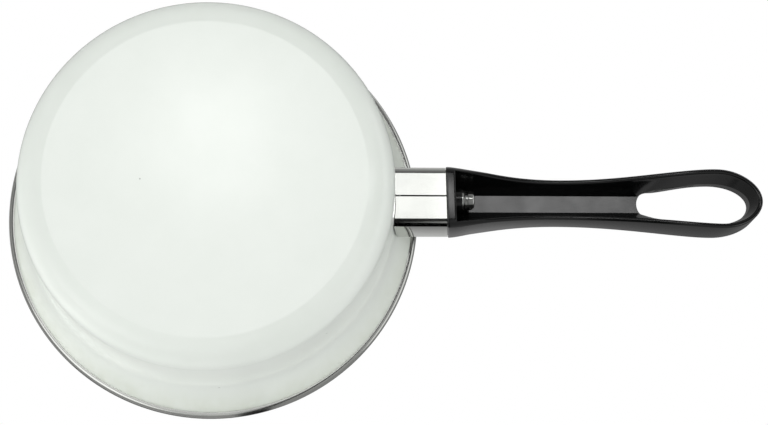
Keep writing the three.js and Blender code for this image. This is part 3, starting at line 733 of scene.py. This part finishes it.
holeMesh = prism(holeOutline(), floorHeight - overcut, floorHeight + gripSizes["topWall"] + overcut)
grip = makePiece("handleGrip", *barMesh(), phenolic, meshing["mouldedEdge"], gripPlace)
gripTools = [
    (makePiece("hollowCutter", *hollowMesh(), phenolic, place=gripPlace), "DIFFERENCE"),
    (makePiece("holeCutter", *holeMesh, phenolic, place=gripPlace), "DIFFERENCE"),
    (rod("wellCutter", bossRadius, bossEnd, headEnd + overcut), "DIFFERENCE"),
    (rod("bossBlank", bossRadius, gripStart + gripSizes["frontWall"] / 2, bossEnd), "UNION"),
    (makePiece("spigotBlank", *spigotMesh(), phenolic, place=gripPlace), "UNION"),
    (rod("boreCutter", boreRadius, spigotEnd - overcut, bossEnd + overcut), "DIFFERENCE"),
]
for tool, how in gripTools:
    cut(grip, tool, how, meshing["mouldedEdge"])
mergeClose(grip.data, meshing["mergeCut"], meshing["mouldedEdge"])
adopt(grip, "handle_grip")


def boltMesh():
    b = boltSizes
    rim, shank, chamfer, fillet = b["head"] / 2, b["diameter"] / 2, b["headChamfer"], b["headFillet"]
    profile = [(0, boltEnd), (shank - b["endDrop"][0], boltEnd),
               (shank - b["endDrop"][1], boltEnd + b["endChamfer"])]
    root, crest, neck = shank - b["threadDepth"], shank - b["crestDrop"], shank - b["neckDrop"]
    z = boltEnd + b["threadStart"]
    while z < gripStart - b["pitch"]:  # thread as close rings, crest inside the solid's radius
        profile += [(root, z)] + [(crest, z + share * b["pitch"]) for share in b["crest"]]
        z += b["pitch"]
    profile += [(neck, z), (neck, headSeat), (rim - chamfer, headSeat), (rim, headSeat + chamfer)]
    for turn in quarterTurns(b["filletSteps"]):
        profile.append((rim - fillet * (1 - math.cos(turn)), headEnd - fillet * (1 - math.sin(turn))))
    return lathe(profile + [(0, headEnd)], b["turns"])


def slotMesh():
    half, reach = boltSizes["slotWidth"] / 2, boltSizes["head"]
    outline = [(-half, -reach), (half, -reach), (half, reach), (-half, reach)]
    return prism(outline, headEnd - boltSizes["slotDepth"], headEnd + overcut)


bolt = makePiece("handleBolt", *boltMesh(), zinc, place=boltPlace)
cut(bolt, makePiece("slotCutter", *slotMesh(), zinc, place=boltPlace))
adopt(bolt, "handle_bolt")


def washerMesh():
    b = boltSizes
    rim, low, high = b["washer"] / 2, washerSeat, washerSeat + b["washerThickness"]
    soft, eased = b["washerRound"], b["roundEase"] * b["washerRound"]
    profile = [(boreRadius, low), (rim - soft, low), (rim - eased, low + eased), (rim, low + soft),
               (rim, high - soft), (rim - eased, high - eased), (rim - soft, high), (boreRadius, high)]
    return lathe(profile, b["turns"], closed=True)


flatWasher = makePiece("flatWasher", *washerMesh(), zinc, place=boltPlace)
adopt(flatWasher, "flat_washer")


def springMesh():
    b = boltSizes
    rim, thick, soft, steps = b["spring"] / 2, b["springThickness"], b["springRound"], b["turns"]
    outline = [(boreRadius, 0), (rim - soft, 0), (rim, soft), (rim, thick - soft), (rim - soft, thick),
               (boreRadius, thick)]
    split = b["springSplit"] / rim
    count = len(outline)
    verts, faces = [], []
    for i in range(steps + 1):
        turn = math.radians(b["springTurn"]) - split / 2 - i / steps * (2 * math.pi - split)
        rise = i / steps * b["springRise"]
        for r, z in outline:  # bolt frame: its X is handle -Z, its Y is handle Y
            verts.append((-r * math.sin(turn), r * math.cos(turn), springSeat + z + rise))
    for i in range(steps):
        for k in range(count):
            a, c = i * count + k, i * count + (k + 1) % count
            faces.append((a, c, c + count, a + count))
    faces += [tuple(range(count))[::-1], tuple(range(steps * count, (steps + 1) * count))]
    return verts, faces


springWasher = makePiece("springWasher", *springMesh(), zinc, place=boltPlace)
adopt(springWasher, "spring_washer")

for name in ("handle_bracket", "bracket_nut"):  # hidden in the ferrule, the solids serve as they are
    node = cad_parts[name]
    node.data.materials.clear()
    node.data.materials.append(zinc)
print("bracket and nut plated")


stageSizes = {  # metres, and mm for the floor's fibre and the reach of its contact shade
    "floorHalf": 3.0, "floorDrop": 0.0004, "fadeStart": 0.25, "fadeEnd": 0.95, "floorColour": "#E8E8E6",
    "fibre": 25, "fibreBump": 0.02, "contactShadeColour": "#8C8C8A", "contactReach": 30, "contactSamples": 16,
    "ambient": 0.4, "background": 1.0,
}


def paleFloor():  # matt board, seen from above only, since the photo looks up from below it
    look = stageSizes
    material, tree = newMaterial("paleBoardMatt")
    place = addNode(tree, "ShaderNodeTexCoord").outputs["Object"]
    fibre = addNode(tree, "ShaderNodeTexNoise", {"Scale": perMm(look["fibre"]), "Detail": 4.0},
                    {"Vector": place})
    bump = addNode(tree, "ShaderNodeBump", {"Strength": look["fibreBump"]}, {"Height": fibre.outputs["Fac"]})
    # painted contact shade: the board turns grey where little is open around it
    openness = addNode(tree, "ShaderNodeAmbientOcclusion",
                       {"Distance": look["contactReach"] * mm, "samples": look["contactSamples"]})
    paintedShadeTint = addNode(tree, "ShaderNodeMix",
                   {"data_type": "RGBA", 6: linear(look["contactShadeColour"]), 7: linear(look["floorColour"])},
                   {"Factor": openness.outputs["AO"]})  # painted contact shade: darker where the pan stands, so that it looks grounded
    board = addNode(tree, "ShaderNodeBsdfDiffuse", {},
                    {"Color": paintedShadeTint.outputs[2], "Normal": bump.outputs["Normal"]})
    clear = addNode(tree, "ShaderNodeBsdfTransparent")
    under = addNode(tree, "ShaderNodeNewGeometry").outputs["Backfacing"]
    far = addNode(tree, "ShaderNodeVectorMath", {"operation": "LENGTH"}, {0: place})
    fade = addNode(tree, "ShaderNodeMapRange",
                   {"interpolation_type": "SMOOTHSTEP", "From Min": look["fadeStart"],
                    "From Max": look["fadeEnd"]},
                   {"Value": far.outputs["Value"]})
    paper = addNode(tree, "ShaderNodeEmission", {"Strength": look["background"]})  # as white as the background
    faded = addNode(tree, "ShaderNodeMixShader", {},
                    {"Fac": fade.outputs["Result"], 1: board.outputs["BSDF"], 2: paper.outputs["Emission"]})
    mixed = addNode(tree, "ShaderNodeMixShader", {},
                    {"Fac": under, 1: faded.outputs["Shader"], 2: clear.outputs["BSDF"]})
    addNode(tree, "ShaderNodeOutputMaterial", {}, {"Surface": mixed.outputs["Shader"]})
    return material


def flatSheet(name, corners, material):
    mesh = bpy.data.meshes.new(name)
    mesh.from_pydata(corners, [], [(0, 1, 2, 3)])
    mesh.materials.append(material)
    sheet = bpy.data.objects.new(name, mesh)
    studio.collection.objects.link(sheet)
    return sheet


def squareCorners(half, height):
    return [(-half, -half, height), (half, -half, height), (half, half, height), (-half, half, height)]


def onlyForGloss(card):
    card.visible_camera = card.visible_diffuse = card.visible_shadow = card.visible_transmission = False


floor = flatSheet("floor", squareCorners(stageSizes["floorHalf"], -stageSizes["floorDrop"]), paleFloor())
floor.visible_shadow = floor.visible_diffuse = floor.visible_glossy = False  # light from below passes

world = bpy.data.worlds.new("studio")
studio.world = world
world.use_nodes = True
sky = world.node_tree
sky.nodes.clear()
path = addNode(sky, "ShaderNodeLightPath")
seen = addNode(sky, "ShaderNodeMath", {"operation": "MAXIMUM"},
               {0: path.outputs["Is Camera Ray"], 1: path.outputs["Is Glossy Ray"]})
shown = addNode(sky, "ShaderNodeMath", {"operation": "MAXIMUM"},
                {0: seen.outputs["Value"], 1: path.outputs["Is Transmission Ray"]})
soft = addNode(sky, "ShaderNodeBackground", {"Color": (1, 1, 1, 1), "Strength": stageSizes["ambient"]})
white = addNode(sky, "ShaderNodeBackground", {"Color": (1, 1, 1, 1), "Strength": stageSizes["background"]})
both = addNode(sky, "ShaderNodeMixShader", {},
               {"Fac": shown.outputs["Value"], 1: soft.outputs["Background"], 2: white.outputs["Background"]})
addNode(sky, "ShaderNodeOutputWorld", {}, {"Surface": both.outputs["Shader"]})

softboxes = {  # centre, target, width, height, radiance
    "under": ((0.0, -0.14, -0.95), (0.0, -0.13, 0), 0.8, 0.6, 3.89),
    "leftNear": ((-0.7, 0.75, -0.35), (0, 0, 0.03), 0.8, 0.8, 1.16),
    "leftHigh": ((-0.95, 0.4, 0.45), (0, 0, 0.04), 0.8, 0.8, 3.76),
    "nearHigh": ((0.0, 1.0, 0.5), (0, 0, 0.04), 0.8, 0.8, 1.57),
    "rightHigh": ((0.95, 0.55, 0.45), (0, 0, 0.04), 0.8, 0.8, 2.41),
    "rightLevel": ((1.1, 0.3, 0.05), (0, 0, 0.04), 0.8, 0.8, 0.41),
    "over": ((-0.5, -0.7, 1.1), (0.05, 0, 0.03), 0.9, 0.9, 1.40),  # lights the mouth and the floor
}
for name, (centre, target, wide, tall, radiance) in softboxes.items():
    lamp = bpy.data.lights.new(name, "AREA")
    lamp.shape = "RECTANGLE"
    lamp.size, lamp.size_y = wide, tall
    lamp.energy = radiance * math.pi * wide * tall  # watts that give this radiance
    box = bpy.data.objects.new(name, lamp)
    box.location = centre
    box.rotation_euler = (Vector(target) - Vector(centre)).to_track_quat("-Z", "Y").to_euler()
    box.visible_camera = box.visible_glossy = False  # the cards stand for it in gloss
    studio.collection.objects.link(box)

cardSizes = {  # a tent of cards that only gloss sees: low corner, high corner, radiance
    "nearLowLeft": ((-1.7, 1.2, -1.0), (0.12, 1.2, -0.3), 0.43),
    "nearMidLeft": ((-1.7, 1.2, -0.3), (0.12, 1.2, 0.15), 0.31),
    "nearHighLeft": ((-1.7, 1.2, 0.15), (0.12, 1.2, 0.7), 0.46),
    "nearTopLeft": ((-1.7, 1.2, 0.7), (0.12, 1.2, 1.5), 0.16),
    "nearMiddle": ((0.12, 1.2, -1.0), (0.35, 1.2, 1.5), 0.0),  # black: the dark corner of the ferrule
    "nearRight": ((0.35, 1.2, -1.0), (1.7, 1.2, 1.5), 0.32),
    "underNearLeft": ((-1.7, 0.03, -1.0), (0.12, 1.2, -1.0), 0.72),
    "cornerStreak": ((-1.5, 0.25, -0.96), (-0.38, 1.15, -0.96), 1.61),  # the streak on the base's corner
    "underNear": ((0.12, 0.03, -1.0), (0.37, 1.2, -1.0), 0.01),
    "underNearRight": ((0.37, 0.03, -1.0), (1.7, 1.2, -1.0), 0.42),
    "underLeft": ((-1.7, -0.46, -1.0), (-0.45, 0.03, -1.0), 0.18),
    "underMiddle": ((-0.45, -0.46, -1.0), (0.2, 0.03, -1.0), 1.30),
    "underRight": ((0.2, -0.46, -1.0), (1.7, 0.03, -1.0), 0.07),
    "underFar": ((-1.7, -1.4, -1.0), (1.7, -0.46, -1.0), 0.20),
    "farLow": ((-1.7, -1.4, -1.0), (1.7, -1.4, 0.0), 0.34),
    "farHigh": ((-1.7, -1.4, 0.0), (1.7, -1.4, 1.5), 0.68),
    "leftLow": ((-1.7, -1.4, -1.0), (-1.7, 1.2, -0.15), 0.46),
    "leftMid": ((-1.7, -1.4, -0.15), (-1.7, 1.2, 0.3), 0.1),
    "leftHigh": ((-1.7, -1.4, 0.3), (-1.7, 1.2, 1.5), 0.48),
    "rightLow": ((1.7, -1.4, -1.0), (1.7, 1.2, 0.0), 1.1),
    "rightHigh": ((1.7, -1.4, 0.0), (1.7, 1.2, 1.5), 0.31),
    "over": ((-1.7, -1.4, 1.5), (1.7, 1.2, 1.5), 0.16),
    "baseSpot": ((-0.09, -0.325, -0.96), (0.01, -0.24, -0.96), 9.10),  # the soft bright place on the base
    "ferruleStrip": ((0.2, -0.31, -0.96), (0.335, -0.17, -0.96), 1.58),  # whitens the ferrule's flat
    "gripStrip": ((0.34, -0.31, -0.96), (0.57, -0.18, -0.96), 4.44),  # greys the floor of the grip's hollow
}
for name, (low, high, radiance) in cardSizes.items():
    flat = [i for i in range(3) if low[i] == high[i]][0]
    a, b = [i for i in range(3) if i != flat]
    corners = [list(low) for _ in range(4)]
    corners[1][a] = corners[2][a] = high[a]
    corners[2][b] = corners[3][b] = high[b]
    cardMaterial, cardTree = newMaterial(name + "Card")
    glow = addNode(cardTree, "ShaderNodeEmission", {"Strength": radiance})
    addNode(cardTree, "ShaderNodeOutputMaterial", {}, {"Surface": glow.outputs["Emission"]})
    card = flatSheet(name + "Card", corners, cardMaterial)
    onlyForGloss(card)

ringSizes = {"place": (0, 0.02, 1.49), "half": 1.15, "radius": 0.25, "spread": 0.3, "radiance": 0.49}  # metres


def softRing():  # a glow that falls off on both sides of a circle, which the wall mirrors edge-on
    look = ringSizes
    material, tree = newMaterial("ringCard")
    place = addNode(tree, "ShaderNodeTexCoord").outputs["Object"]
    reach = addNode(tree, "ShaderNodeVectorMath", {"operation": "LENGTH"}, {0: place})
    off = addNode(tree, "ShaderNodeMath", {"operation": "SUBTRACT", 1: look["radius"]},
                  {0: reach.outputs["Value"]})
    widths = addNode(tree, "ShaderNodeMath", {"operation": "MULTIPLY", 1: 1 / look["spread"]},
                     {0: off.outputs["Value"]})
    squared = addNode(tree, "ShaderNodeMath", {"operation": "MULTIPLY"},
                      {0: widths.outputs["Value"], 1: widths.outputs["Value"]})
    fall = addNode(tree, "ShaderNodeMath", {"operation": "POWER", 0: 1 / math.e}, {1: squared.outputs["Value"]})
    level = addNode(tree, "ShaderNodeMath", {"operation": "MULTIPLY", 1: look["radiance"]},
                    {0: fall.outputs["Value"]})
    glow = addNode(tree, "ShaderNodeEmission", {}, {"Strength": level.outputs["Value"]})
    clear = addNode(tree, "ShaderNodeBsdfTransparent")
    added = addNode(tree, "ShaderNodeAddShader", {}, {0: glow.outputs["Emission"], 1: clear.outputs["BSDF"]})
    addNode(tree, "ShaderNodeOutputMaterial", {}, {"Surface": added.outputs["Shader"]})
    return material


ring = flatSheet("ringCard", squareCorners(ringSizes["half"], 0), softRing())
ring.location = ringSizes["place"]
onlyForGloss(ring)

cameraSizes = {  # fitted to the rim, base and handle outlines in the photo, 768 x 425
    "place": (35.7, 161.7, -646.9), "forward": (0.0556, -0.2192, 0.9741), "right": (0.9984, 0.0219, -0.0521),
    "focalPixels": 1624, "frameWidth": 768, "sensor": 36,
}
lens = bpy.data.cameras.new("photoCamera")
lens.sensor_width = cameraSizes["sensor"]
lens.sensor_fit = "HORIZONTAL"
lens.lens = cameraSizes["focalPixels"] / cameraSizes["frameWidth"] * cameraSizes["sensor"]
camera = bpy.data.objects.new("photoCamera", lens)
forward = Vector(cameraSizes["forward"]).normalized()
right = Vector(cameraSizes["right"])
right = (right - forward * right.dot(forward)).normalized()
turned = Matrix((right, right.cross(forward), -forward)).transposed().to_4x4()
camera.matrix_world = Matrix.Translation(Vector(cameraSizes["place"]) * mm) @ turned
studio.collection.objects.link(camera)
studio.camera = camera
studio.view_settings.view_transform = "Standard"
print("stage, light and camera set")
